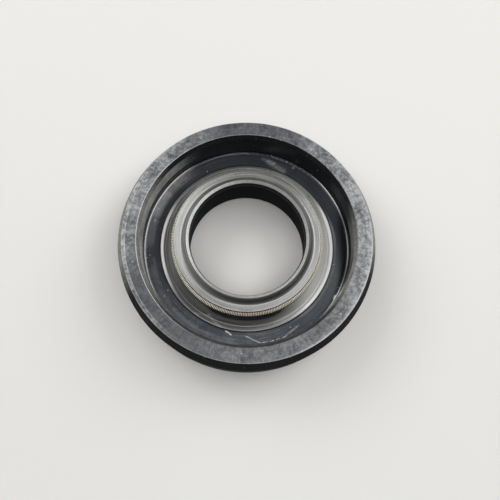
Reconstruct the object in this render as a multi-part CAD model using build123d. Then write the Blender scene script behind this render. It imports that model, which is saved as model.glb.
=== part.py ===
from build123d import *
import os
from math import radians, tan

# Radial shaft seal with a sprung main lip and a dust lip, in millimetres.
# The axis is Z, the air side lies on z = 0 and the spring side faces up.

# Overall sizes
shaft_diameter = 17.0
housing_diameter = 35.0
seal_height = 8.0

# Rubber cover around the steel ring
cover_thickness = 2.1
back_thickness = 2.2
rim_thickness = 0.75
mouth_flare = 0.32
lead_in_width = 0.8
lead_in_depth = 1.7
foot_chamfer_width = 0.45
foot_chamfer_depth = 0.9
face_edge_round = 0.08

# Steel ring, pressed from sheet with one bend
steel_thickness = 1.0
inner_bend_radius = 0.25
web_grip = 0.5

# Nose of the main lip, from its crest down to the sealing land
crest_setback = 0.92
crest_round = 0.05
nose_bevel_width = 0.34
nose_bevel_depth = 0.24
throat_flare = 0.12
throat_length = 0.5
lip_interference = 0.68
land_length = 0.3

# Shoulder of the main lip, from its crest out to the edge over the spring
shoulder_slope_width = 0.8
shoulder_slope_drop = 0.72
shoulder_blend = 0.45
shoulder_flat_width = 0.97
shoulder_flat_drop = 0.1
retaining_edge_height = 0.3
retaining_edge_round = 0.13

# Garter spring, a closed coil that sits in a groove behind the lip
spring_coil_diameter = 1.04
spring_tuck = 0.12
spring_clearance = 0.02

# Flexing wall between the spring groove and the steel ring
wall_top_width = 0.4
wall_top_drop = 0.62
wall_top_round = 0.15
wall_foot_width = 0.75
wall_foot_depth = 0.2
wall_foot_round = 0.1

# Raised bead that ends the rubber on the steel web
bead_width = 0.42
bead_height = 0.2
bead_round = 0.13

# Air side of the main lip and the bore of the hub
air_side_slope = 29.0
hub_bore_height = 3.4
hub_bore_round = 0.6

# Dust lip on the air side, with the groove that lets it flex
dust_lip_interference = 0.25
dust_lip_height = 0.4
dust_lip_tip_width = 0.25
dust_lip_tip_drop = 0.15
dust_groove_reach = 1.45
dust_groove_depth = 1.6
dust_groove_mouth = 0.75
dust_groove_round = 0.25

# Cover and steel ring, worked out from the housing bore and the height
outer_radius = housing_diameter / 2
steel_outer_radius = outer_radius - cover_thickness
steel_inner_radius = steel_outer_radius - steel_thickness
steel_top = seal_height - rim_thickness
web_bottom = back_thickness
web_top = web_bottom + steel_thickness
outer_bend_radius = inner_bend_radius + steel_thickness

# Main lip, worked out from the shaft and the front face
sealing_radius = shaft_diameter / 2 - lip_interference
throat_radius = sealing_radius + throat_flare
crest_radius = throat_radius + nose_bevel_width
crest_height = seal_height - crest_setback
throat_top = crest_height - nose_bevel_depth
land_top = throat_top - throat_length
land_bottom = land_top - land_length
shoulder_radius = crest_radius + shoulder_slope_width
shoulder_height = crest_height - shoulder_slope_drop
retaining_radius = shoulder_radius + shoulder_flat_width
retaining_top = shoulder_height - shoulder_flat_drop
retaining_bottom = retaining_top - retaining_edge_height

# Spring seat, flexing wall and bead, which ends midway across the hollow
spring_radius = retaining_radius - spring_tuck
groove_section_radius = spring_coil_diameter / 2 + spring_clearance
spring_height = retaining_bottom - groove_section_radius
wall_top_radius = spring_radius + wall_top_width
wall_top_height = spring_height - wall_top_drop
crease_radius = (retaining_radius + steel_inner_radius) / 2
bead_inner_radius = crease_radius - bead_width
bead_top = web_top + bead_height
wall_foot_radius = crease_radius - wall_foot_width
wall_foot_height = web_top - wall_foot_depth
web_inner_radius = crease_radius - web_grip

# Hub bore and dust lip
hub_bore_radius = sealing_radius + (land_bottom - hub_bore_height) * tan(radians(air_side_slope))
dust_lip_radius = shaft_diameter / 2 - dust_lip_interference
dust_tip_radius = dust_lip_radius + dust_lip_tip_width
dust_tip_height = dust_lip_height - dust_lip_tip_drop
dust_groove_radius = dust_lip_radius + dust_groove_reach
dust_mouth_radius = dust_groove_radius + dust_groove_mouth


def turned(corners):
    """Turns a closed outline of (radius, height, rounding) corners about the axis."""
    points = [(radius, height) for radius, height, rounding in corners]
    roundings = [rounding for radius, height, rounding in corners]
    with BuildPart() as solid:
        with BuildSketch(Plane.XZ):
            with BuildLine():
                FilletPolyline(*points, radius=roundings, close=True)
            make_face()
        revolve(axis=Axis.Z)
    return solid.part


def rubber_body():
    """One moulding: cover, rim, back, hub, flexing wall, main lip and dust lip."""
    cover = [
        (outer_radius - foot_chamfer_width, 0, face_edge_round),
        (outer_radius, foot_chamfer_depth, 0),
        (outer_radius, seal_height - lead_in_depth, 0),
        (outer_radius - lead_in_width, seal_height, face_edge_round),
        (steel_inner_radius + mouth_flare, seal_height, face_edge_round),
        (steel_inner_radius, steel_top, 0),
    ]
    steel_pocket = [
        (steel_outer_radius, steel_top, 0),
        (steel_outer_radius, web_bottom, outer_bend_radius),
        (web_inner_radius, web_bottom, 0),
        (web_inner_radius, web_top, 0),
        (crease_radius, web_top, 0),
    ]
    bead_and_wall = [
        (crease_radius, bead_top, bead_round),
        (bead_inner_radius, bead_top, bead_round),
        (wall_foot_radius, wall_foot_height, wall_foot_round),
        (wall_top_radius, wall_top_height, wall_top_round),
    ]
    shoulder_and_nose = [
        (retaining_radius, retaining_bottom, 0),
        (retaining_radius, retaining_top, retaining_edge_round),
        (shoulder_radius, shoulder_height, shoulder_blend),
        (crest_radius, crest_height, crest_round),
        (throat_radius, throat_top, crest_round),
    ]
    bore = [
        (sealing_radius, land_top, 0),
        (sealing_radius, land_bottom, 0),
        (hub_bore_radius, hub_bore_height, hub_bore_round),
    ]
    dust_lip = [
        (dust_lip_radius, dust_lip_height, 0),
        (dust_tip_radius, dust_tip_height, 0),
        (dust_groove_radius, dust_groove_depth, dust_groove_round),
        (dust_mouth_radius, 0, face_edge_round),
    ]
    moulding = turned(cover + steel_pocket + bead_and_wall + shoulder_and_nose + bore + dust_lip)
    spring_groove = Pos(0, 0, spring_height) * Torus(spring_radius, groove_section_radius)
    return moulding - spring_groove


def steel_ring():
    """The L-shaped ring that stiffens the seal and shows inside it as wall and floor."""
    return turned([
        (steel_inner_radius, steel_top, 0),
        (steel_outer_radius, steel_top, 0),
        (steel_outer_radius, web_bottom, outer_bend_radius),
        (web_inner_radius, web_bottom, 0),
        (web_inner_radius, web_top, 0),
        (steel_inner_radius, web_top, inner_bend_radius),
    ])


def garter_spring():
    """The closed coil as a plain ring of its outer shape."""
    return Pos(0, 0, spring_height) * Torus(spring_radius, spring_coil_diameter / 2)


os.makedirs("parts", exist_ok=True)
pieces = {
    "rubber_body": rubber_body(),
    "steel_ring": steel_ring(),
    "garter_spring": garter_spring(),
}
for name, piece in pieces.items():
    piece.label = name
    export_step(piece, f"parts/{name}.step")
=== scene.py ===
"""Radial shaft seal with a sprung main lip and a dust lip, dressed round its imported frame.

Sizes in the dataclasses are in millimetres and become metres where a mesh is made.
Heights run up from the air side, and the axis is Z.
"""
import logging
import math
from collections.abc import Callable, Iterable, Sequence
from dataclasses import dataclass, field
from enum import Enum

import bpy
import numpy as np
from mathutils import Matrix, Vector


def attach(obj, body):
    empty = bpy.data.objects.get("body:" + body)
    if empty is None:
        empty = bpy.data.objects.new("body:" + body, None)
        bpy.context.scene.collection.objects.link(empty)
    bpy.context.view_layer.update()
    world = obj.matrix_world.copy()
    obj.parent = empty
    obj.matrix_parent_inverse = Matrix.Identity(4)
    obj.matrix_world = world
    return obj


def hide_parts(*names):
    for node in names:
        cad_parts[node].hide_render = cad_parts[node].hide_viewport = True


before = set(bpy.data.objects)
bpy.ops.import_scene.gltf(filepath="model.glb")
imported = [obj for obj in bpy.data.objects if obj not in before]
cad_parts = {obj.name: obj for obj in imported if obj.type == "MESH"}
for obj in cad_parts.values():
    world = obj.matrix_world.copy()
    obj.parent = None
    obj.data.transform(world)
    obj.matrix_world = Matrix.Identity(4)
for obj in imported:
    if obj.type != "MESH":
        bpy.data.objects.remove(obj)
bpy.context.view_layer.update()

MM = 0.001
NEARLY_STRAIGHT = math.radians(176)
# Near-black for painted shade in creases and gaps, on shaded sides and between the spring's turns, and for a
# few specks of dirt
PAINTED_SHADE_AND_DIRT = (0.003, 0.003, 0.0035)
RUBBER_DUST = (0.62, 0.62, 0.58)
STEEL_DUST = (0.5, 0.5, 0.47)

# Radius and height of the bend in the steel, of the crease at the bead and of the spring's line
STEEL_BEND = (14.36, 3.30)
BEAD_CREASE = (12.235, 3.22)
SPRING_LINE = (9.93, 5.42)

log = logging.getLogger("shaft_seal")

Socket = bpy.types.NodeSocket
Colour = tuple[float, float, float]


class Slot(Enum):
    """Names of the record's material slots."""

    RUBBER = "rubber"
    SPRING_STEEL = "spring_steel"


class Zone(Enum):
    """Parts of the moulding that the mould or the knife leaves with their own finish and their own painted
    light and shade.
    """

    WALL = 0
    FACE = 1
    LIP = 2
    NOSE = 3
    BORE = 4


# Meshes


@dataclass(frozen=True)
class Corner:
    """A corner of a turned outline and the radius that rounds it."""

    radius: float
    height: float
    rounding: float = 0.0


@dataclass(frozen=True)
class Stretch:
    """Neighbouring corners that share one finish and one fineness.

    Attributes:
        zone: the finish of the edge that follows each corner.
        corners: its corners, in order.
        step: the longest edge of the mesh along it.
        edge_break: the rounding of its otherwise sharp corners.
    """

    zone: Zone
    corners: tuple[Corner, ...]
    step: float = 0.25
    edge_break: float = 0.025


@dataclass
class Outline:
    """A closed outline that is turned about the axis."""

    stretches: Sequence[Stretch]
    arc_steps: int = 5
    points: list[tuple[float, float]] = field(default_factory=list, init=False)
    zones: list[Zone] = field(default_factory=list, init=False)

    def __post_init__(self) -> None:
        """Works out the points and the zone of the edge that follows each."""
        corners = [(s, c) for s in self.stretches for c in s.corners]
        count = len(corners)
        rounded = []
        for i, (stretch, corner) in enumerate(corners):
            before, after = corners[i - 1][1], corners[(i + 1) % count][1]
            rounded.append((stretch, self._arc(before, corner, after, stretch.edge_break)))
        for i, (stretch, arc) in enumerate(rounded):
            following = rounded[(i + 1) % count][1][0]
            for place in arc:
                self._add(place, stretch.zone)
            self._divide(arc[-1], following, stretch)

    def _add(self, place: np.ndarray, zone: Zone) -> None:
        """Keeps one point and the zone of the edge after it."""
        self.points.append((float(place[0]), float(place[1])))
        self.zones.append(zone)

    def _divide(self, start: np.ndarray, end: np.ndarray, stretch: Stretch) -> None:
        """Adds evenly spaced points along a straight run.

        Args:
            start: first end, which is already kept.
            end: last end, which the next corner keeps.
            stretch: gives the longest edge and the zone.
        """
        parts = max(1, math.ceil(float(np.linalg.norm(end - start)) / stretch.step))
        for k in range(1, parts):
            self._add(start + (end - start) * k / parts, stretch.zone)

    def _arc(self, before: Corner, here: Corner, after: Corner, least: float) -> list[np.ndarray]:
        """Rounds one corner.

        Args:
            before: the corner that comes first.
            here: the corner that is rounded.
            after: the corner that comes next.
            least: the rounding of a corner that has none.

        Returns:
            The points that take the corner's place.
        """
        a, p, b = (np.array((c.radius, c.height)) for c in (before, here, after))
        rounding = here.rounding or least
        to_a, to_b = (a - p) / np.linalg.norm(a - p), (b - p) / np.linalg.norm(b - p)
        opening = math.acos(max(-1.0, min(1.0, float(to_a @ to_b))))
        if rounding <= 0 or opening > NEARLY_STRAIGHT:
            return [p]
        reach = rounding / math.tan(opening / 2)
        middle = p + (to_a + to_b) / np.linalg.norm(to_a + to_b) * rounding / math.sin(opening / 2)
        first, last = p + to_a * reach - middle, p + to_b * reach - middle
        start = math.atan2(first[1], first[0])
        turn = (math.atan2(last[1], last[0]) - start + math.pi) % (2 * math.pi) - math.pi
        angles = start + turn * np.linspace(0, 1, self.arc_steps + 1)
        return [middle + rounding * np.array((math.cos(t), math.sin(t))) for t in angles]


def linked(name: str, data: bpy.types.ID) -> bpy.types.Object:
    """Makes an object of a mesh, a lamp or a camera and links it to the scene."""
    made = bpy.data.objects.new(name, data)
    bpy.context.scene.collection.objects.link(made)
    return made


def closed_mesh(name: str, rings: np.ndarray) -> bpy.types.Object:
    """Skins rows of points that close on themselves both ways.

    Args:
        name: the piece's name.
        rings: an array of rows, points and coordinates, in millimetres.

    Returns:
        The new object, with smooth faces that point outwards.
    """
    rows, columns, _ = rings.shape
    row, column = np.meshgrid(np.arange(rows), np.arange(columns), indexing="ij")
    here, below = row * columns, (row + 1) % rows * columns
    beside = (column + 1) % columns
    corners = (here + column, below + column, below + beside, here + beside)
    quads = np.stack(corners, axis=-1).reshape(-1, 4)
    mesh = bpy.data.meshes.new(name)
    mesh.from_pydata((rings.reshape(-1, 3) * MM).tolist(), [], quads.tolist())
    mesh.shade_smooth()
    mesh.validate()
    return linked(name, mesh)


def turned_rings(outline: Outline, segments: int) -> np.ndarray:
    """Turns an outline about the axis.

    Args:
        outline: the outline in the plane of radius and height.
        segments: how many steps make the full turn.

    Returns:
        One row of points for each step.
    """
    angle = np.linspace(0, 2 * math.pi, segments, endpoint=False)[:, None]
    radius, height = np.array(outline.points).T
    heights = np.broadcast_to(height, (segments, len(height)))
    return np.stack((np.cos(angle) * radius, np.sin(angle) * radius, heights), axis=-1)


# Shader nodes


@dataclass
class Graph:
    """Adds and links the nodes of one shader tree."""

    tree: bpy.types.NodeTree

    def node(self, kind: str, **settings: object) -> bpy.types.Node:
        """Adds a node.

        Args:
            kind: the node's type, without the ShaderNode that it starts with.
            settings: the node's own settings by name.

        Returns:
            The new node.
        """
        made = self.tree.nodes.new(kind if kind.startswith("NodeGroup") else f"ShaderNode{kind}")
        for name, value in settings.items():
            setattr(made, name, value)
        return made

    def feed(self, target: Socket, value: object) -> None:
        """Links a socket into a target, or sets the target's own value."""
        if isinstance(value, Socket):
            self.tree.links.new(value, target)
        elif value is not None:
            target.default_value = (*value, 1.0) if target.type == "RGBA" and len(value) == 3 else value

    def fill(self, node: bpy.types.Node, **values: object) -> None:
        """Feeds inputs by name, with spaces written as underscores."""
        for name, value in values.items():
            self.feed(node.inputs[name.replace("_", " ")], value)

    def math(self, operation: str, *values: object, clamp: bool = False) -> Socket:
        """Adds a Math node and gives its result."""
        made = self.node("Math", operation=operation, use_clamp=clamp)
        for target, value in zip(made.inputs, values):
            self.feed(target, value)
        return made.outputs[0]

    def times(self, *values: object) -> Socket:
        """Multiplies two values."""
        return self.math("MULTIPLY", *values)

    def plus(self, *values: object, clamp: bool = False) -> Socket:
        """Adds two values."""
        return self.math("ADD", *values, clamp=clamp)

    def minus(self, *values: object) -> Socket:
        """Takes the second value from the first."""
        return self.math("SUBTRACT", *values)

    def vector(self, operation: str, *values: object, scale: object = None) -> Socket:
        """Adds a Vector Math node and gives its result."""
        made = self.node("VectorMath", operation=operation)
        for target, value in zip(made.inputs, values):
            self.feed(target, value)
        if scale is not None:
            self.feed(made.inputs["Scale"], scale)
        return made.outputs["Value" if operation in ("LENGTH", "DOT_PRODUCT") else "Vector"]

    def scaled_place(self, per_mm: object = 1.0) -> Socket:
        """Gives the place on the object, scaled from millimetres."""
        factor = self.math("DIVIDE", per_mm, MM) if isinstance(per_mm, Socket) else per_mm / MM
        return self.vector("SCALE", self.node("TexCoord").outputs["Object"], scale=factor)

    def ramp(
        self, value: object, low: object, high: object, to_low: object = 0.0, to_high: object = 1.0
    ) -> Socket:
        """Maps a range smoothly to another.

        Args:
            value: what is mapped.
            low: where the ramp starts.
            high: where it ends.
            to_low: the result at the start and before it.
            to_high: the result at the end and past it.

        Returns:
            The mapped value.
        """
        made = self.node("MapRange", interpolation_type="SMOOTHSTEP", clamp=True)
        for target, given in zip(made.inputs, (value, low, high, to_low, to_high)):
            self.feed(target, given)
        return made.outputs[0]

    def blend(self, below: object, above: object, mask: object) -> Socket:
        """Lays one colour over another through a mask."""
        made = self.node("Mix", data_type="RGBA")
        self.feed(made.inputs[0], mask)
        self.feed(made.inputs[6], below)
        self.feed(made.inputs[7], above)
        return made.outputs[2]

    def noise(self, place: Socket, scale: object, detail: float, roughness: float) -> Socket:
        """Adds a noise texture and gives its grey value."""
        made = self.node("TexNoise")
        self.fill(made, Vector=place, Scale=scale, Detail=detail, Roughness=roughness)
        return made.outputs["Fac"]

    def combine(self, x: object, y: object, z: object) -> Socket:
        """Joins three values to a vector."""
        made = self.node("CombineXYZ")
        for target, value in zip(made.inputs, (x, y, z)):
            self.feed(target, value)
        return made.outputs[0]

    def round_axis(self, east: Socket, north: Socket, pace: object, level: object) -> Socket:
        """Gives a place for noise that runs round the axis, on a level of its own."""
        return self.combine(self.times(east, pace), self.times(north, pace), level)

    def distance(self, place: Iterable[Socket], centre: Iterable[object]) -> Socket:
        """Gives how far a radius and height are from another pair."""
        aside, above = (self.minus(here, there) for here, there in zip(place, centre))
        return self.vector("LENGTH", self.combine(aside, above, 0.0))

    def thinned(self, line: Socket, share: Socket, kept: Socket) -> Socket:
        """Takes a share of a line away where the mask of what is kept is low."""
        gone = self.times(share, self.minus(1.0, kept))
        return self.times(line, self.minus(1.0, gone))

    def relief(self, shader: bpy.types.Node, height: Socket, depth: float) -> None:
        """Raises a height by a depth in millimetres over the shader's surface."""
        bump = self.node("Bump")
        self.fill(bump, Strength=1.0, Distance=depth * MM, Height=height)
        self.fill(shader, Normal=bump.outputs[0])


@dataclass(frozen=True)
class Effect:
    """A node group that several finishes share.

    Attributes:
        name: the group's name.
        knobs: its inputs and their usual values.
        draw: fills the group and gives one socket for each output.
        results: the names of its outputs.
    """

    name: str
    knobs: dict[str, float | Colour]
    draw: Callable[[Graph, dict[str, Socket]], tuple[Socket, ...]]
    results: tuple[str, ...] = ("Mask",)

    def group(self) -> bpy.types.NodeTree:
        """Gives the node group, which is built at its first use."""
        tree = bpy.data.node_groups.get(self.name)
        if tree:
            return tree
        tree = bpy.data.node_groups.new(self.name, "ShaderNodeTree")
        for name, value in self.knobs.items():
            kind = "NodeSocketFloat" if isinstance(value, float) else "NodeSocketVector"
            made = tree.interface.new_socket(name, in_out="INPUT", socket_type=kind)
            made.default_value = value
        for result in self.results:
            tree.interface.new_socket(result, in_out="OUTPUT", socket_type="NodeSocketFloat")
        graph = Graph(tree)
        entry, leave = graph.node("NodeGroupInput"), graph.node("NodeGroupOutput")
        knobs = {socket.name: socket for socket in entry.outputs if socket.name}
        for target, value in zip(leave.inputs, self.draw(graph, knobs)):
            graph.feed(target, value)
        return tree

    def place(self, graph: Graph, **values: object) -> tuple[Socket, ...]:
        """Puts the effect into a material.

        Args:
            graph: the material's nodes.
            values: inputs by name, with spaces written as underscores.

        Returns:
            The group's outputs.
        """
        made = graph.node("Group", node_tree=self.group())
        graph.fill(made, **values)
        return tuple(made.outputs)[: len(self.results)]


def draw_turned_place(graph: Graph, knobs: dict[str, Socket]) -> tuple[Socket, ...]:
    """Draws radius and height in millimetres and the two parts of the direction."""
    split = graph.node("SeparateXYZ")
    graph.feed(split.inputs[0], graph.node("TexCoord").outputs["Object"])
    flat = graph.vector("LENGTH", graph.combine(split.outputs[0], split.outputs[1], 0.0))
    radius = graph.math("DIVIDE", flat, MM)
    height = graph.math("DIVIDE", split.outputs[2], MM)
    east = graph.math("DIVIDE", split.outputs[0], flat)
    north = graph.math("DIVIDE", split.outputs[1], flat)
    return radius, height, east, north


TURNED_PLACE = Effect("turned_place", {}, draw_turned_place, ("Radius", "Height", "East", "North"))


def draw_turned_grain(graph: Graph, knobs: dict[str, Socket]) -> tuple[Socket, ...]:
    """Draws noise that is stretched round the axis or across it."""
    radius, height, east, north = TURNED_PLACE.place(graph)
    across = graph.times(graph.minus(radius, height), knobs["Across"])
    place = graph.round_axis(east, north, knobs["Around"], graph.plus(across, knobs["Seed"]))
    grey = graph.noise(place, 1.0, detail=4.0, roughness=0.6)
    return (graph.ramp(grey, knobs["Low"], knobs["High"]),)


TURNED_GRAIN = Effect(
    "turned_grain", {"Around": 20.0, "Across": 1.0, "Low": 0.4, "High": 0.7, "Seed": 0.0}, draw_turned_grain
)


def draw_ring_line(graph: Graph, knobs: dict[str, Socket]) -> tuple[Socket, ...]:
    """Draws a soft line round the axis at one radius and height, broken up by noise."""
    radius, height, east, north = TURNED_PLACE.place(graph)
    away = graph.distance((radius, height), (knobs["Radius"], knobs["Height"]))
    line = graph.ramp(away, 0.0, knobs["Width"], 1.0, 0.0)
    grey = graph.noise(graph.round_axis(east, north, 9.0, knobs["Radius"]), 1.0, detail=4.0, roughness=0.65)
    return (graph.thinned(line, knobs["Broken"], graph.ramp(grey, 0.32, 0.62)),)


RING_LINE = Effect(
    "ring_line", {"Radius": 10.0, "Height": 8.0, "Width": 0.1, "Broken": 0.5}, draw_ring_line
)


def draw_side(graph: Graph, knobs: dict[str, Socket]) -> tuple[Socket, ...]:
    """Draws a soft sector round the axis, fullest in one direction, within radii and heights."""
    radius, height, east, north = TURNED_PLACE.place(graph)
    facing = graph.vector("DOT_PRODUCT", graph.combine(east, north, 0.0), knobs["Toward"])
    mask = graph.ramp(facing, knobs["Least"], 1.0)
    for value, low, high in ((radius, "Inner", "Outer"), (height, "Low", "High")):
        for end, sign in ((low, 1.0), (high, -1.0)):
            inside = graph.times(graph.minus(value, knobs[end]), sign)
            inside = graph.math("DIVIDE", inside, knobs["Fade"])
            mask = graph.times(mask, graph.ramp(inside, -1.0, 1.0))
    return (mask,)


SIDE = Effect(
    "side",
    {
        "Toward": (1.0, 0.0, 0.0),
        "Least": 0.3,
        "Inner": 0.0,
        "Outer": 20.0,
        "Low": -1.0,
        "High": 9.0,
        "Fade": 0.25,
    },
    draw_side,
)


def draw_specks(graph: Graph, knobs: dict[str, Socket]) -> tuple[Socket, ...]:
    """Draws grains of dust, each a random size, that lie apart."""
    cells = graph.node("TexVoronoi", feature="F1")
    graph.fill(cells, Vector=graph.scaled_place(knobs["Per mm"]), Scale=1.0)
    tint = graph.node("SeparateColor")
    graph.feed(tint.inputs[0], cells.outputs["Color"])
    chosen = graph.math("GREATER_THAN", knobs["Share"], tint.outputs[0])
    least, spread = 0.1, 0.22
    reach = graph.math("MULTIPLY_ADD", tint.outputs[1], spread, least)
    grain = graph.ramp(cells.outputs["Distance"], graph.times(reach, 0.5), reach, 1.0, 0.0)
    return (graph.times(grain, chosen),)


SPECKS = Effect("specks", {"Per mm": 2.0, "Share": 0.1}, draw_specks)


def draw_bloom(graph: Graph, knobs: dict[str, Socket]) -> tuple[Socket, ...]:
    """Draws the film that rubber sweats out, as large clouds and as fine mottling."""
    place = graph.scaled_place()
    clouds = graph.ramp(graph.noise(place, knobs["Cloud per mm"], detail=3.0, roughness=0.6), 0.3, 0.7)
    grey = graph.noise(place, knobs["Mottle per mm"], detail=6.0, roughness=0.72)
    low, high = graph.minus(0.5, knobs["Soft"]), graph.plus(0.52, knobs["Soft"])
    return clouds, graph.ramp(grey, low, high)


BLOOM = Effect(
    "bloom", {"Cloud per mm": 0.4, "Mottle per mm": 2.2, "Soft": 0.14}, draw_bloom, ("Clouds", "Mottle")
)


def draw_stroke(graph: Graph, knobs: dict[str, Socket]) -> tuple[Socket, ...]:
    """Draws one straight mark between two places, feathered by noise."""
    level, grey_middle, sway_per_mm, sway_reach = (1.0, 1.0, 0.0), (0.5, 0.5, 0.5), 3.0, 0.25
    flat = graph.vector("MULTIPLY", graph.scaled_place(), level)
    shake = graph.node("TexNoise")
    graph.fill(shake, Vector=flat, Scale=sway_per_mm)
    sway = graph.vector("MULTIPLY", graph.vector("SUBTRACT", shake.outputs["Color"], grey_middle), level)
    here = graph.vector("ADD", flat, graph.vector("SCALE", sway, scale=sway_reach))
    along = graph.vector("SUBTRACT", knobs["End"], knobs["Start"])
    away = graph.vector("SUBTRACT", here, knobs["Start"])
    length = graph.vector("DOT_PRODUCT", along, along)
    share = graph.math("DIVIDE", graph.vector("DOT_PRODUCT", away, along), length, clamp=True)
    gap = graph.vector("LENGTH", graph.vector("SUBTRACT", away, graph.vector("SCALE", along, scale=share)))
    line = graph.ramp(gap, 0.0, knobs["Width"], 1.0, 0.0)
    grey = graph.noise(flat, knobs["Feather per mm"], detail=4.0, roughness=0.7)
    line = graph.thinned(line, knobs["Broken"], graph.ramp(grey, 0.36, 0.6))
    return (graph.times(line, knobs["Strength"]),)


STROKE = Effect(
    "stroke",
    {
        "Start": (0.0, 0.0, 0.0),
        "End": (1.0, 0.0, 0.0),
        "Width": 0.1,
        "Strength": 1.0,
        "Broken": 0.6,
        "Feather per mm": 4.0,
    },
    draw_stroke,
)


# Marks


@dataclass(frozen=True)
class StraightMark:
    """One straight mark on an upward surface, from one place to another: a scuff, a speck of dirt, a painted
    glint or a painted shadow.

    Attributes:
        start: where it starts, along X and Y.
        end: where it ends.
        width: how far it reaches to each side.
        strength: how much it shows, from 0 to 1.
        broken: how much of it the feathering takes away.
        feather: how fine the feathering is, per millimetre.
    """

    start: tuple[float, float]
    end: tuple[float, float]
    width: float
    strength: float
    broken: float
    feather: float = 4.0

    def mask(self, graph: Graph) -> Socket:
        """Places the stroke and gives its mask."""
        (stroke,) = STROKE.place(
            graph,
            Start=(*self.start, 0.0),
            End=(*self.end, 0.0),
            Width=self.width,
            Strength=self.strength,
            Broken=self.broken,
            Feather_per_mm=self.feather,
        )
        return stroke


@dataclass(frozen=True)
class EdgeLine:
    """A line that is turned about the axis: a painted highlight along a partly rubbed edge, or painted shade
    in a crease.
    """

    radius: float
    height: float
    width: float
    strength: float
    broken: float

    def mask(self, graph: Graph) -> Socket:
        """Places the line and gives its mask."""
        (line,) = RING_LINE.place(
            graph, Radius=self.radius, Height=self.height, Width=self.width, Broken=self.broken
        )
        return graph.times(line, self.strength)


@dataclass(frozen=True)
class Sector:
    """A stretch round the axis where painted sheen, a painted highlight, painted shade, a film or tarnish
    lies.

    Attributes:
        bearing: its middle, in degrees clockwise from the +Y axis.
        spread: how far it reaches to each side, in degrees.
        strength: how much it adds at its middle.
        radii: the radii that it lies between.
        heights: the heights that it lies between.
        fade: how softly it ends at those radii and heights, in millimetres.
    """

    bearing: float
    spread: float
    strength: float
    radii: tuple[float, float] = (0.0, 20.0)
    heights: tuple[float, float] = (-1.0, 9.0)
    fade: float = 0.25

    def mask(self, graph: Graph) -> Socket:
        """Places the sector and gives its mask."""
        turn = math.radians(self.bearing)
        (side,) = SIDE.place(
            graph,
            Toward=(math.sin(turn), math.cos(turn), 0.0),
            Least=math.cos(math.radians(self.spread)),
            Inner=self.radii[0],
            Outer=self.radii[1],
            Low=self.heights[0],
            High=self.heights[1],
            Fade=self.fade,
        )
        return graph.times(side, self.strength)


Mark = StraightMark | EdgeLine | Sector

# Where sectors lie: radii and heights of the lead-in, radii of the mouth, heights of floor and bead
LEAD_IN = ((16.0, 20.0), (6.1, 9.0))
MOUTH = (14.0, 15.2)
FLOOR = (3.0, 3.6)
BEAD = (3.1, 3.6)


def summed(graph: Graph, marks: Iterable[Mark]) -> Socket | float:
    """Adds the masks of marks up to a limit of one."""
    total: Socket | float = 0.0
    for mark in marks:
        total = graph.plus(total, mark.mask(graph), clamp=True)
    return total


# Finishes


def new_material(name: str) -> tuple[bpy.types.Material, Graph, bpy.types.Node]:
    """Makes a material with an empty Principled BSDF.

    Args:
        name: the material's name.

    Returns:
        The material, its nodes, and the shader.
    """
    made = bpy.data.materials.new(name)
    made.use_nodes = True
    graph = Graph(made.node_tree)
    return made, graph, made.node_tree.nodes["Principled BSDF"]


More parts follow.
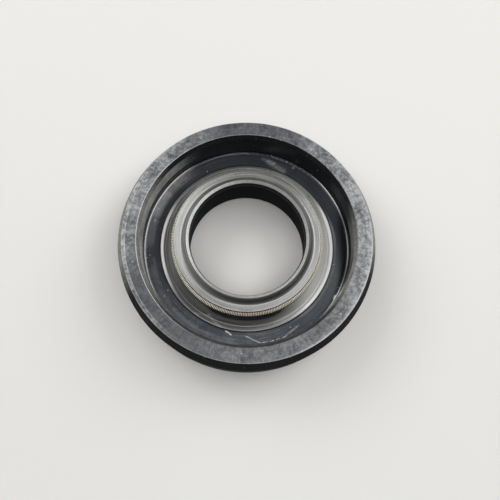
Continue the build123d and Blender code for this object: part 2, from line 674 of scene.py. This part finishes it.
@dataclass(frozen=True)
class RubberFinish:
    """Black nitrile rubber with its bloom, tool marks, rubbed edges and dust, and with painted sheen,
    highlights and shade.

    Attributes:
        name: the material's name.
        body: the rubber under the film.
        film_share: how much the film covers.
        fleck_share: how much the short marks that run across the ring add.
        gloss: the shader's specular level.
        film_and_sheen: the bloom where it lies thickest, which also colours the painted sheen.
        highlight_and_wear: the colour of painted highlights along edges, of rubbed edges and of scuffs.
        patchy: how much clouds and mottling break the film up.
        cloud_part: the part that the clouds have in that, where the mottling has the rest.
        soft: how softly the mottling fades.
        line_share: how much the mould's turned lines add.
        line_across: how many of those lines there are, per millimetre.
        rough: the roughness of the bare rubber.
        rough_film: the roughness of the film.
        rough_highlight_and_wear: what painted highlights, rubbing and scuffs add to the roughness.
        density: the shader's index of refraction.
        grain: the depth of the surface grain.
        speck_share: how much dust there is.
        dust_cover: how much each grain of dust hides.
        bloom_and_sheen: where the film lies thicker, mostly as painted sheen and painted light on the sides
            that the light reaches, partly as real bloom on the face.
        edges: painted highlights along its edges and on its bead and flank, over some rubbed wear.
        shade_and_dirt: painted shade in creases and gaps and on shaded sides, and a few specks of dirt.
        scuffs: its scuffs.
    """

    name: str
    body: Colour
    film_share: float
    fleck_share: float
    gloss: float
    film_and_sheen: Colour = (0.265, 0.275, 0.285)
    highlight_and_wear: Colour = (0.42, 0.43, 0.43)
    patchy: float = 1.0
    cloud_part: float = 0.4
    soft: float = 0.14
    line_share: float = 0.0
    line_across: float = 5.5
    rough: float = 0.48
    rough_film: float = 0.66
    rough_highlight_and_wear: float = 0.15
    density: float = 1.5
    grain: float = 0.006
    speck_share: float = 0.03
    dust_cover: float = 0.7
    bloom_and_sheen: tuple[Sector, ...] = ()
    edges: tuple[Mark, ...] = ()
    shade_and_dirt: tuple[Mark, ...] = ()
    scuffs: tuple[StraightMark, ...] = ()

    def material(self) -> bpy.types.Material:
        """Builds the finish as a material."""
        made, graph, shader = new_material(self.name)
        clouds, mottle = BLOOM.place(graph, Soft=self.soft)
        (flecks,) = TURNED_GRAIN.place(graph, Around=70.0, Across=0.5, Low=0.5, High=0.66)
        (lines,) = TURNED_GRAIN.place(graph, Around=1.3, Across=self.line_across, Low=0.3, High=0.7, Seed=3.0)
        flecks = graph.times(flecks, graph.ramp(clouds, 0.25, 0.75, to_low=0.15))
        cloudy = graph.times(clouds, self.cloud_part)
        mottled = graph.times(mottle, 1.0 - self.cloud_part)
        cover = graph.math("MULTIPLY_ADD", graph.plus(cloudy, mottled), self.patchy, 1.0 - self.patchy)
        # The film: real bloom, thickened by painted sheen and painted light in the sectors
        lean = graph.plus(self.film_share, summed(graph, self.bloom_and_sheen))
        film_and_sheen = graph.times(cover, lean)
        film_and_sheen = graph.math("MULTIPLY_ADD", flecks, self.fleck_share, film_and_sheen)
        film_and_sheen = graph.math("MULTIPLY_ADD", lines, self.line_share, film_and_sheen, clamp=True)
        colour = graph.blend(self.body, self.film_and_sheen, film_and_sheen)
        # Painted highlights along edges, with rubbed edges and real scuffs
        highlight_and_wear = summed(graph, (*self.edges, *self.scuffs))
        colour = graph.blend(colour, self.highlight_and_wear, highlight_and_wear)
        # Painted shade in creases and gaps and on the shaded side, with a few specks of dirt
        colour = graph.blend(colour, PAINTED_SHADE_AND_DIRT, summed(graph, self.shade_and_dirt))
        (specks,) = SPECKS.place(graph, Per_mm=2.6, Share=self.speck_share)
        colour = graph.blend(colour, RUBBER_DUST, graph.times(specks, self.dust_cover))
        rough = graph.math("MULTIPLY_ADD", film_and_sheen, self.rough_film - self.rough, self.rough)
        rough = graph.math("MULTIPLY_ADD", highlight_and_wear, self.rough_highlight_and_wear, rough, clamp=True)
        graph.fill(shader, Base_Color=colour, Roughness=rough)
        graph.fill(shader, Specular_IOR_Level=self.gloss, IOR=self.density)
        grain = graph.noise(graph.scaled_place(), 9.0, detail=4.0, roughness=0.6)
        height = graph.math("MULTIPLY_ADD", lines, self.line_share * 2, graph.plus(grain, film_and_sheen))
        graph.relief(shader, height, self.grain)
        return made


@dataclass(frozen=True)
class PressedSteelFinish:
    """Pressed steel under a thin blue-black coat, scuffed and dusty, with painted sheen, highlights and
    shade.

    Attributes:
        name: the material's name.
        coat: the colour of the clean coat.
        bare_and_highlight: the colour where the coat is scuffed through, and of the painted highlights along
            the bend.
        haze_and_sheen: the colour of the thin film and of the painted sheen.
        warm: the colour of the painted warm sheen.
        metal: how metallic the clean coat is.
        rough: the roughness of the clean coat.
        rough_lifted: what film, painted sheen, painted highlights, scuffs and dust add to it.
        gloss: the shader's specular level.
        grain: the depth of the surface grain.
        film_share: how much film there is everywhere.
        mark_share: how much the press marks show.
        mark_rough: what the press marks add to the roughness.
        dust_cover: how much each grain of dust hides.
        sheen_patches: painted sheen and reflections on its floor.
        stains_and_sheen: painted warm sheen on its inside wall and floor.
        scuffs: its scuffs.
        edges: painted highlights along the bend and a painted glint on it.
        shade_and_dirt: painted shade on its wall and floor, and a painted shadow across its floor.
    """

    name: str
    coat: Colour = (0.060, 0.065, 0.075)
    bare_and_highlight: Colour = (0.88, 0.89, 0.89)
    haze_and_sheen: Colour = (0.165, 0.175, 0.19)
    warm: Colour = (0.56, 0.545, 0.51)
    metal: float = 0.7
    rough: float = 0.18
    rough_lifted: float = 0.25
    gloss: float = 0.08
    grain: float = 0.0012
    film_share: float = 0.12
    mark_share: float = 0.05
    mark_rough: float = 0.06
    dust_cover: float = 0.8
    sheen_patches: tuple[Sector, ...] = ()
    stains_and_sheen: tuple[Sector, ...] = ()
    scuffs: tuple[StraightMark, ...] = ()
    edges: tuple[Mark, ...] = ()
    shade_and_dirt: tuple[Mark, ...] = ()

    def material(self) -> bpy.types.Material:
        """Builds the finish as a material."""
        made, graph, shader = new_material(self.name)
        (marks,) = TURNED_GRAIN.place(graph, Around=2.0, Across=6.0, Low=0.42, High=0.72)
        clouds, mottle = BLOOM.place(graph, Cloud_per_mm=0.3, Mottle_per_mm=3.0)
        patches = graph.ramp(clouds, 0.0, 1.0, to_low=0.55)
        cover = graph.times(patches, graph.ramp(mottle, 0.0, 1.0, to_low=0.7))
        # The thin film, with painted sheen and reflections on the floor
        film_and_sheen = graph.plus(self.film_share, summed(graph, self.sheen_patches), clamp=True)
        haze_and_sheen = graph.times(cover, film_and_sheen)
        # Painted warm sheen on the inside wall and the floor
        stain_and_sheen = graph.times(cover, summed(graph, self.stains_and_sheen))
        colour = graph.blend(self.coat, self.haze_and_sheen, haze_and_sheen)
        colour = graph.blend(colour, self.warm, stain_and_sheen)
        colour = graph.blend(colour, self.bare_and_highlight, graph.times(marks, self.mark_share))
        # Painted highlights along the bend and a painted glint, with real scuffs
        highlight_and_wear = summed(graph, (*self.edges, *self.scuffs))
        colour = graph.blend(colour, self.bare_and_highlight, highlight_and_wear)
        # Painted shade on the wall and at the bead, and a painted shadow across the floor
        colour = graph.blend(colour, PAINTED_SHADE_AND_DIRT, summed(graph, self.shade_and_dirt))
        (specks,) = SPECKS.place(graph, Per_mm=2.2, Share=0.04)
        dust = graph.times(specks, self.dust_cover)
        colour = graph.blend(colour, STEEL_DUST, dust)
        lifted = graph.plus(graph.plus(haze_and_sheen, stain_and_sheen), graph.plus(highlight_and_wear, dust), clamp=True)
        metal = graph.math("MULTIPLY_ADD", lifted, -self.metal, self.metal)
        rough = graph.math("MULTIPLY_ADD", marks, self.mark_rough, self.rough)
        rough = graph.math("MULTIPLY_ADD", lifted, self.rough_lifted, rough, clamp=True)
        graph.fill(shader, Base_Color=colour, Metallic=metal, Roughness=rough, Specular_IOR_Level=self.gloss)
        graph.relief(shader, graph.plus(marks, cover), self.grain)
        return made


@dataclass(frozen=True)
class SpringWireFinish:
    """Drawn spring wire, straw coloured, with brown tarnish in places, painted shade between its turns and
    painted shade along its back.

    Attributes:
        name: the material's name.
        ring: the radius and height of the coil's own centre line.
        depths: how far from that line the painted shade ends and the bright wire starts.
        bright: the colour of the bare wire.
        tarnish: the colour of the tarnish.
        stains_and_sheen: where the tarnish lies thicker.
        stain_share: how much thin tarnish there is everywhere.
        drawn_share: how much the marks of drawing show.
        painted_shade: where painted shade darkens the wire all round.
        metal: how metallic the wire is.
        rough: the roughness of the wire.
    """

    name: str
    ring: tuple[float, float] = SPRING_LINE
    depths: tuple[float, float] = (0.455, 0.49)
    bright: Colour = (1.0, 0.97, 0.80)
    tarnish: Colour = (0.86, 0.70, 0.58)
    stains_and_sheen: tuple[Sector, ...] = (Sector(182, 32, 0.7),)
    stain_share: float = 0.3
    drawn_share: float = 0.12
    painted_shade: tuple[Sector, ...] = (Sector(2, 55, 1.0),)
    metal: float = 0.1
    rough: float = 0.32

    def material(self) -> bpy.types.Material:
        """Builds the finish as a material."""
        made, graph, shader = new_material(self.name)
        (stain_and_sheen,) = TURNED_GRAIN.place(graph, Around=3.0, Across=0.6, Low=0.45, High=0.72)
        (drawn,) = TURNED_GRAIN.place(graph, Around=160.0, Across=14.0, Low=0.3, High=0.7)
        radius, height, _, _ = TURNED_PLACE.place(graph)
        away = graph.distance((radius, height), self.ring)
        stain_and_sheen = graph.math("MULTIPLY_ADD", stain_and_sheen, self.stain_share, summed(graph, self.stains_and_sheen), clamp=True)
        colour = graph.blend(self.bright, self.tarnish, stain_and_sheen)
        colour = graph.blend(colour, self.tarnish, graph.times(drawn, self.drawn_share))
        # Painted shade between the turns and along the coil's back
        shade_between_turns = graph.ramp(away, *self.depths, to_low=0.97, to_high=0.0)
        painted_shade = graph.plus(shade_between_turns, summed(graph, self.painted_shade), clamp=True)
        colour = graph.blend(colour, PAINTED_SHADE_AND_DIRT, painted_shade)
        rough = graph.math("MULTIPLY_ADD", drawn, 0.15, self.rough)
        graph.fill(shader, Base_Color=colour, Metallic=self.metal, Roughness=rough)
        return made


WALL_FINISH = RubberFinish(
    "rubber_wall",
    # Near-black body, darker than the rubber itself: painted shade for the unlit front of the outer wall
    body=(0.009, 0.010, 0.011),
    film_and_sheen=(0.37, 0.375, 0.345),
    film_share=0.03,
    patchy=0.6,
    fleck_share=0.03,
    rough=0.6,
    gloss=0.02,
    # Painted light on the lead-in and the mouth, on the sides that the light reaches
    bloom_and_sheen=(
        Sector(325, 85, 0.8, *LEAD_IN),
        Sector(60, 50, 0.8, *LEAD_IN),
        Sector(275, 35, 0.9, *LEAD_IN),
        Sector(80, 30, 0.5, *LEAD_IN),
        Sector(0, 110, 0.12, radii=(17.0, 20.0)),
        Sector(180, 95, 0.14, radii=MOUTH),
        Sector(268, 46, 0.7, radii=MOUTH),
        Sector(102, 34, 0.7, radii=MOUTH),
    ),
)

FACE_FINISH = RubberFinish(
    "rubber_face",
    body=(0.016, 0.020, 0.025),
    film_and_sheen=(0.383, 0.393, 0.403),
    highlight_and_wear=(0.74, 0.75, 0.74),
    film_share=0.17,
    soft=0.1,
    fleck_share=0.15,
    line_share=0.05,
    line_across=4.0,
    gloss=0.6,
    # Painted sheen on the sides of the face that mirror the light, over the real bloom
    bloom_and_sheen=(
        Sector(78, 65, 0.72),
        Sector(160, 50, 0.22),
        Sector(297, 52, 0.6),
        Sector(105, 60, 0.35, radii=(16.1, 17.0)),
        Sector(262, 62, 0.7, radii=(16.25, 17.0), fade=0.1),
    ),
    # Painted highlights along the mouth and the outer edge of the face, brightest at the sides, over some
    # rubbed wear
    edges=(
        EdgeLine(14.74, 8.0, 0.08, 0.2, 0.4),
        EdgeLine(16.7, 8.0, 0.12, 0.3, 0.4),
        Sector(272, 72, 1.0, radii=(14.67, 14.82), fade=0.04),
        Sector(345, 60, 0.2, radii=(14.66, 14.85), fade=0.06),
        Sector(128, 45, 0.3, radii=(16.5, 16.8), fade=0.08),
        Sector(262, 50, 0.25, radii=(16.2, 16.3), fade=0.05),
    ),
)

LIP_FINISH = RubberFinish(
    "rubber_lip",
    body=(0.058, 0.060, 0.057),
    film_and_sheen=(0.40, 0.405, 0.385),
    highlight_and_wear=(0.84, 0.83, 0.81),
    film_share=0.08,
    patchy=0.3,
    fleck_share=0.0,
    line_share=0.4,
    rough=0.22,
    rough_film=0.34,
    gloss=0.8,
    density=1.8,
    grain=0.002,
    speck_share=0.012,
    # Painted light on the right and top of the flank and on the left of the shoulder
    bloom_and_sheen=(
        Sector(108, 60, 1.0, radii=(10.1, 12.0)),
        Sector(28, 60, 0.35, radii=(10.1, 12.0)),
        Sector(275, 60, 0.6, radii=(9.0, 10.2)),
    ),
    # Painted highlights: the crest line, the right flank, and the bead at right and left
    edges=(
        EdgeLine(8.28, 7.08, 0.07, 0.3, 0.3),
        Sector(105, 45, 0.35, radii=(10.4, 11.8)),
        Sector(102, 50, 1.7, radii=(11.75, 12.14), heights=BEAD, fade=0.08),
        Sector(268, 38, 1.0, radii=(11.75, 12.12), heights=BEAD, fade=0.08),
    ),
    # Painted shade: the bead crease, the gaps above and below the spring, the darker top, and the shaded
    # front of slope, flank, bead and shoulder; the three short dark strokes are dirt
    shade_and_dirt=(
        EdgeLine(*BEAD_CREASE, 0.17, 1.0, 0.1),
        EdgeLine(10.38, 4.72, 0.26, 1.0, 0.1),
        Sector(170, 125, 1.6, radii=(9.97, 10.3), heights=(5.7, 6.35), fade=0.03),
        StraightMark((-1.69, 9.48), (-1.68, 9.49), 0.14, 1.0, 0.0),
        StraightMark((0.5, -9.8), (-1.1, -9.7), 0.16, 0.9, 0.9, 6.0),
        StraightMark((-2.6, -9.3), (-3.6, -9.0), 0.2, 0.5, 1.0, 5.0),
        Sector(150, 100, 0.85, radii=(8.4, 8.95)),
        Sector(0, 70, 0.6, radii=(8.4, 8.95)),
        Sector(0, 75, 0.6, radii=(11.75, 12.3), heights=BEAD, fade=0.1),
        Sector(181, 34, 1.4, radii=(10.1, 10.85), heights=(4.1, 5.3), fade=0.3),
        Sector(190, 70, 0.45, radii=(10.3, 11.3), heights=(3.2, 5.0)),
        Sector(208, 48, 0.65, radii=(11.3, 12.2), heights=FLOOR),
        Sector(182, 40, 0.35, radii=(9.2, 10.0), heights=(6.1, 6.5)),
        Sector(185, 55, 1.2, radii=(10.02, 10.3), heights=(5.7, 6.24), fade=0.04),
    ),
    scuffs=(
        StraightMark((-7.06, -9.71), (-5.16, -10.03), 0.28, 0.3, 0.8, 5.0),
        StraightMark((-5.16, -10.03), (-4.19, -11.06), 0.4, 0.35, 0.8, 6.0),
        StraightMark((-4.19, -11.06), (-3.5, -11.6), 0.3, 0.3, 0.8, 6.0),
        StraightMark((6.9, -5.3), (4.4, -7.5), 0.1, 0.5, 0.9, 5.0),
    ),
)

NOSE_FINISH = RubberFinish(
    # Pale body and sectors: painted highlight on the trimmed nose bevel, brightest at the left
    "rubber_trimmed_highlight",
    body=(0.17, 0.17, 0.166),
    film_and_sheen=(0.62, 0.62, 0.60),
    film_share=0.28,
    patchy=0.5,
    fleck_share=0.2,
    gloss=0.5,
    grain=0.003,
    bloom_and_sheen=(Sector(288, 75, 1.0), Sector(120, 60, 0.2)),
)

BORE_FINISH = RubberFinish(
    "rubber_bore",
    # Near-black body, darker than the rubber itself: painted shade inside the bore
    body=(0.007, 0.008, 0.009),
    film_share=0.03,
    fleck_share=0.02,
    gloss=0.08,
    speck_share=0.0,
)

STEEL_FINISH = PressedSteelFinish(
    "coated_steel",
    # Painted sheen and reflections on the floor, by side
    sheen_patches=(
        Sector(195, 80, 0.24, radii=(12.0, 14.6), heights=FLOOR),
        Sector(215, 50, 0.4, radii=(13.3, 14.6), heights=FLOOR),
        Sector(265, 40, 0.3, radii=(13.0, 14.6), heights=FLOOR),
        Sector(288, 26, 0.6, radii=(13.3, 14.6), heights=FLOOR, fade=0.5),
        Sector(105, 42, 1.6, radii=(12.0, 12.7), heights=FLOOR, fade=0.15),
    ),
    # Painted warm sheen on the left and right of the inside wall and on a patch of the floor
    stains_and_sheen=(
        Sector(260, 70, 2.8, heights=(4.7, 8.0)),
        Sector(110, 42, 1.6, heights=(4.4, 8.0)),
        Sector(306, 24, 0.75, radii=(13.3, 14.6), heights=FLOOR, fade=0.6),
    ),
    # Painted highlights along the bend, brightest at left and right, and a painted glint
    edges=(
        EdgeLine(*STEEL_BEND, 0.08, 0.25, 0.3),
        Sector(88, 52, 2.5, radii=(14.32, 14.5), heights=(3.2, 3.44), fade=0.03),
        Sector(283, 50, 2.5, radii=(14.34, 14.5), heights=(3.2, 3.44), fade=0.03),
        StraightMark((12.1, -7.6), (12.3, -7.25), 0.3, 0.9, 0.0),
    ),
    # Painted shade: the crease at the bead, the top of the wall, the foot of the wall at left and right, and
    # a painted shadow across the right of the floor
    shade_and_dirt=(
        EdgeLine(*BEAD_CREASE, 0.2, 1.0, 0.1),
        Sector(13, 52, 3.0, radii=(14.2, 14.6), heights=(3.55, 8.0), fade=0.1),
        Sector(80, 60, 4.0, radii=(14.2, 14.6), heights=(3.5, 5.0), fade=0.08),
        Sector(285, 60, 4.0, radii=(14.2, 14.6), heights=(3.5, 5.0), fade=0.08),
        StraightMark((14.0, 6.0), (13.7, -6.0), 1.5, 0.75, 0.0),
    ),
    scuffs=(
        StraightMark((2.4, 13.4), (4.0, 12.7), 0.45, 0.22, 1.0, 8.0),
        StraightMark((3.2, 12.9), (5.4, 11.5), 0.7, 0.3, 1.0, 8.0),
        StraightMark((6.8, 12.0), (6.9, 12.1), 0.3, 0.25, 0.3),
        StraightMark((-0.11, -12.8), (1.78, -13.7), 0.08, 0.6, 0.3),
        StraightMark((1.78, -13.7), (3.6, -13.4), 0.1, 0.6, 1.0, 3.5),
        StraightMark((3.6, -13.4), (5.2, -12.85), 0.16, 0.35, 1.0, 3.5),
        StraightMark((5.2, -12.85), (7.0, -11.3), 0.22, 0.3, 1.0, 3.5),
        StraightMark((-2.85, -12.1), (-2.15, -12.6), 0.17, 0.6, 0.3),
    ),
)


# Sub-assemblies


@dataclass
class RubberMoulding:
    """The one moulding: cover, rim, back, hub, flexing wall, main lip and dust lip.

    Attributes:
        spring_seat: the middle of the round groove for the spring.
        seat_section: the groove's section radius.
        seat_start: where the groove meets the wall below it.
        seat_end: where the groove meets the edge above it.
        segments: how many steps make the full turn.
        groove_steps: how many steps round the groove's section.
        sharp_angle: edges that turn by more than this angle, in degrees, stay crisp.
        finishes: the finish of each zone, in the order of Zone.
    """

    spring_seat: tuple[float, float] = SPRING_LINE
    seat_section: float = 0.54
    seat_start: tuple[float, float] = (10.2797, 5.0085)
    seat_end: tuple[float, float] = (10.0535, 5.9457)
    segments: int = 360
    groove_steps: int = 14
    sharp_angle: float = 50.0
    finishes: tuple[RubberFinish, ...] = (WALL_FINISH, FACE_FINISH, LIP_FINISH, NOSE_FINISH, BORE_FINISH)

    def groove(self) -> tuple[Corner, ...]:
        """Works out the round seat of the spring."""
        middle = Vector(self.spring_seat)
        start, end = Vector(self.seat_start) - middle, Vector(self.seat_end) - middle
        first = math.atan2(start.y, start.x) + 2 * math.pi
        turns = np.linspace(first, math.atan2(end.y, end.x), self.groove_steps + 1)
        places = (middle + Vector((math.cos(t), math.sin(t))) * self.seat_section for t in turns)
        return tuple(Corner(place.x, place.y) for place in places)

    def outline(self) -> Outline:
        """Gives the outline of the moulding, which closes round the steel."""
        back_and_wall = (Corner(17.05, 0.0, 0.08), Corner(17.5, 0.9), Corner(17.5, 6.3))
        steel_pocket = (
            Corner(14.4, 7.25),
            Corner(15.4, 7.25),
            Corner(15.4, 2.2, 1.25),
            Corner(11.725, 2.2),
            Corner(11.725, 3.2),
            Corner(12.225, 3.2),
        )
        bead_and_flexing_wall = (
            Corner(12.225, 3.4, 0.13),
            Corner(11.805, 3.4, 0.13),
            Corner(11.475, 3.0, 0.1),
            Corner(10.33, 4.8, 0.15),
        )
        shoulder = (Corner(10.05, 5.96), Corner(10.05, 6.26, 0.13), Corner(9.08, 6.36, 0.45))
        land_and_hub = (Corner(7.82, 6.34), Corner(7.82, 6.04), Corner(9.2834, 3.4, 0.6))
        dust_side = (Corner(8.25, 0.4), Corner(8.5, 0.25), Corner(9.7, 1.6, 0.25), Corner(10.45, 0.0, 0.08))
        return Outline(
            (
                Stretch(Zone.WALL, back_and_wall, step=0.3),
                Stretch(Zone.FACE, (Corner(16.7, 8.0, 0.08),), step=0.3),
                Stretch(Zone.WALL, (Corner(14.72, 8.0, 0.08),), step=0.3),
                Stretch(Zone.WALL, steel_pocket, step=1.2, edge_break=0.0),
                Stretch(Zone.LIP, bead_and_flexing_wall, step=0.12),
                Stretch(Zone.LIP, self.groove(), step=0.2, edge_break=0.0),
                Stretch(Zone.LIP, shoulder, step=0.1),
                Stretch(Zone.NOSE, (Corner(8.28, 7.08, 0.05),), step=0.1),
                Stretch(Zone.BORE, (Corner(7.94, 6.84, 0.05),), step=0.1),
                Stretch(Zone.BORE, land_and_hub),
                Stretch(Zone.WALL, dust_side, step=0.5),
            )
        )

    def build(self) -> bpy.types.Object:
        """Builds and dresses the moulding in place of its CAD node.

        Returns:
            The moulding.
        """
        outline = self.outline()
        piece = closed_mesh("moulded_rubber", turned_rings(outline, self.segments))
        for zone in Zone:
            piece.data.materials.append(self.finishes[zone.value].material())
        zones = np.array([zone.value for zone in outline.zones], dtype=np.int32)
        piece.data.polygons.foreach_set("material_index", np.tile(zones, self.segments))
        piece.data.set_sharp_from_angle(angle=math.radians(self.sharp_angle))
        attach(piece, "root")
        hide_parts("rubber_body")
        return piece


@dataclass
class SteelRing:
    """The L-shaped ring that shows inside the seal as its wall and floor.

    Attributes:
        finish: its coat, with the scuffs that its floor shows, and its painted sheen, highlights and shade.
    """

    finish: PressedSteelFinish = STEEL_FINISH

    def dress(self) -> bpy.types.Object:
        """Gives the CAD node its finish.

        Returns:
            The node's object.
        """
        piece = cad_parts["steel_ring"]
        piece.data.materials.clear()
        piece.data.materials.append(self.finish.material())
        return piece


@dataclass
class GarterSpring:
    """The closed coil that presses the main lip to the shaft.

    Attributes:
        ring_radius: the radius of the coil's own centre line.
        height: the height of that line.
        coil_diameter: the coil from outside to outside.
        wire_diameter: the wire that it is wound from.
        turns: how many turns close the ring.
        points_per_turn: how many steps follow the wire in a turn.
        sides: how many points go round the wire.
    """

    ring_radius: float = SPRING_LINE[0]
    height: float = SPRING_LINE[1]
    coil_diameter: float = 1.04
    wire_diameter: float = 0.16
    turns: int = 290
    points_per_turn: int = 18
    sides: int = 8

    def rings(self) -> np.ndarray:
        """Gives a ring of points round the wire at each step along it."""
        count = self.turns * self.points_per_turn
        along = np.linspace(0, 2 * math.pi, count, endpoint=False)
        winding = along * self.turns
        reach = (self.coil_diameter - self.wire_diameter) / 2
        outward = np.stack((np.cos(along), np.sin(along), np.zeros(count)), axis=-1)
        upward = np.array((0.0, 0.0, 1.0))
        swing = np.cos(winding)[:, None] * outward + np.sin(winding)[:, None] * upward
        centre = outward * self.ring_radius + upward * self.height + swing * reach
        ahead = np.roll(centre, -1, axis=0) - np.roll(centre, 1, axis=0)
        ahead /= np.linalg.norm(ahead, axis=1, keepdims=True)
        side = np.cross(ahead, swing)
        side /= np.linalg.norm(side, axis=1, keepdims=True)
        lift = np.cross(side, ahead)
        around = np.linspace(0, 2 * math.pi, self.sides, endpoint=False)[None, :, None]
        section = np.cos(around) * lift[:, None] + np.sin(around) * side[:, None]
        return centre[:, None] + section * self.wire_diameter / 2

    def build(self) -> bpy.types.Object:
        """Builds and dresses the coil in place of its CAD node.

        Returns:
            The coil.
        """
        piece = closed_mesh("spring_coil", self.rings())
        piece.data.materials.append(SpringWireFinish("spring_wire").material())
        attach(piece, "root")
        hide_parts("garter_spring")
        return piece


# Studio


@dataclass(frozen=True)
class Softbox:
    """A square lamp that shines at the seal from a distance.

    Attributes:
        name: the lamp's name.
        bearing: where it hangs, in degrees clockwise from the +Y axis.
        rise: how high it hangs, in degrees above the floor.
        watts: its strength.
        size: its side, in metres.
        distance: how far it hangs from the seal, in metres.
    """

    name: str
    bearing: float
    rise: float
    watts: float
    size: float = 0.2
    distance: float = 0.36

    def build(self) -> None:
        """Hangs the lamp and turns it to the seal."""
        bearing, rise = math.radians(self.bearing), math.radians(self.rise)
        flat = math.cos(rise)
        place = Vector((flat * math.sin(bearing), flat * math.cos(bearing), math.sin(rise))) * self.distance
        lamp = bpy.data.lights.new(self.name, "AREA")
        lamp.shape = "SQUARE"
        lamp.size = self.size
        lamp.energy = self.watts
        made = linked(self.name, lamp)
        made.location = place
        made.rotation_euler = (-place).to_track_quat("-Z", "Y").to_euler()


@dataclass
class Studio:
    """The pale floor, the soft lamps, the world and the camera.

    Attributes:
        floor_size: the floor's side, in metres.
        floor_seen: the floor's colour as the camera and mirror-like surfaces see it.
        floor_lit: the floor's colour for the light that it throws back at the seal.
        world_level: the strength of the even light from all sides.
        lamps: the soft lamps.
        camera_place: where the photograph was taken from, in metres.
        camera_right: the direction of the picture's right side.
        camera_up: the direction of the picture's top.
        lens: the focal length for a sensor of 36 mm.
    """

    floor_size: float = 1.6
    floor_seen: Colour = (0.70, 0.69, 0.67)
    floor_lit: Colour = (0.28, 0.275, 0.265)
    world_level: float = 0.05
    lamps: tuple[Softbox, ...] = (
        Softbox("lamp_right", 60, 42, 0.54),
        Softbox("lamp_left", 300, 42, 0.36),
        Softbox("lamp_back", 330, 40, 0.24),
        Softbox("lamp_low_right", 60, 12, 0.22),
        Softbox("lamp_low_left", 300, 27, 0.14),
        Softbox("lamp_high_right", 95, 64, 0.30),
        Softbox("lamp_high_left", 262, 62, 0.16),
        Softbox("lamp_top", 180, 72, 0.32),
    )
    camera_place: tuple[float, float, float] = (-0.00154, -0.02015, 0.0727)
    camera_right: tuple[float, float, float] = (0.9996, 0.0, 0.0283)
    camera_up: tuple[float, float, float] = (-0.0076, 0.963, 0.2693)
    lens: float = 36.72

    def floor(self) -> None:
        """Lays the floor under the seal."""
        half = self.floor_size / 2
        mesh = bpy.data.meshes.new("floor")
        corners = [(-half, -half, 0), (half, -half, 0), (half, half, 0), (-half, half, 0)]
        mesh.from_pydata(corners, [], [(0, 1, 2, 3)])
        piece = linked("floor", mesh)
        made, graph, shader = new_material("floor_paper")
        rays = graph.node("LightPath").outputs
        seen = graph.math("MAXIMUM", rays["Is Camera Ray"], rays["Is Glossy Ray"])
        seen = graph.math("MAXIMUM", seen, rays["Is Transmission Ray"])
        colour = graph.blend(self.floor_lit, self.floor_seen, seen)
        graph.fill(shader, Base_Color=colour, Roughness=0.9, Specular_IOR_Level=0.2)
        mesh.materials.append(made)

    def world(self) -> None:
        """Sets the even light that comes from all sides."""
        made = bpy.data.worlds.new("studio")
        made.use_nodes = True
        back = made.node_tree.nodes["Background"]
        back.inputs["Color"].default_value = (1.0, 1.0, 1.0, 1.0)
        back.inputs["Strength"].default_value = self.world_level
        bpy.context.scene.world = made

    def camera(self) -> None:
        """Places the camera where the photograph was taken from."""
        lens = bpy.data.cameras.new("camera")
        lens.lens = self.lens
        lens.sensor_width = 36.0
        lens.clip_start = 0.002
        lens.clip_end = 10.0
        made = linked("camera", lens)
        right, up = Vector(self.camera_right), Vector(self.camera_up)
        back = right.cross(up).normalized()
        up = back.cross(right).normalized()
        turn = Matrix((right, up, back)).transposed().to_4x4()
        made.matrix_world = Matrix.Translation(self.camera_place) @ turn
        bpy.context.scene.camera = made

    def build(self) -> None:
        """Sets up the whole studio."""
        self.floor()
        self.world()
        for lamp in self.lamps:
            lamp.build()
        self.camera()
        bpy.context.scene.view_settings.view_transform = "Standard"


def main() -> None:
    """Builds the seal's pieces in order, then the studio."""
    logging.basicConfig(level=logging.INFO, format="%(name)s: %(message)s")
    for piece in (RubberMoulding().build(), SteelRing().dress(), GarterSpring().build()):
        mesh = piece.data
        log.info("%s: %d faces, %d materials", piece.name, len(mesh.polygons), len(mesh.materials))
    Studio().build()
    log.info("studio: floor, lamps and camera")


if __name__ == "__main__":
    main()
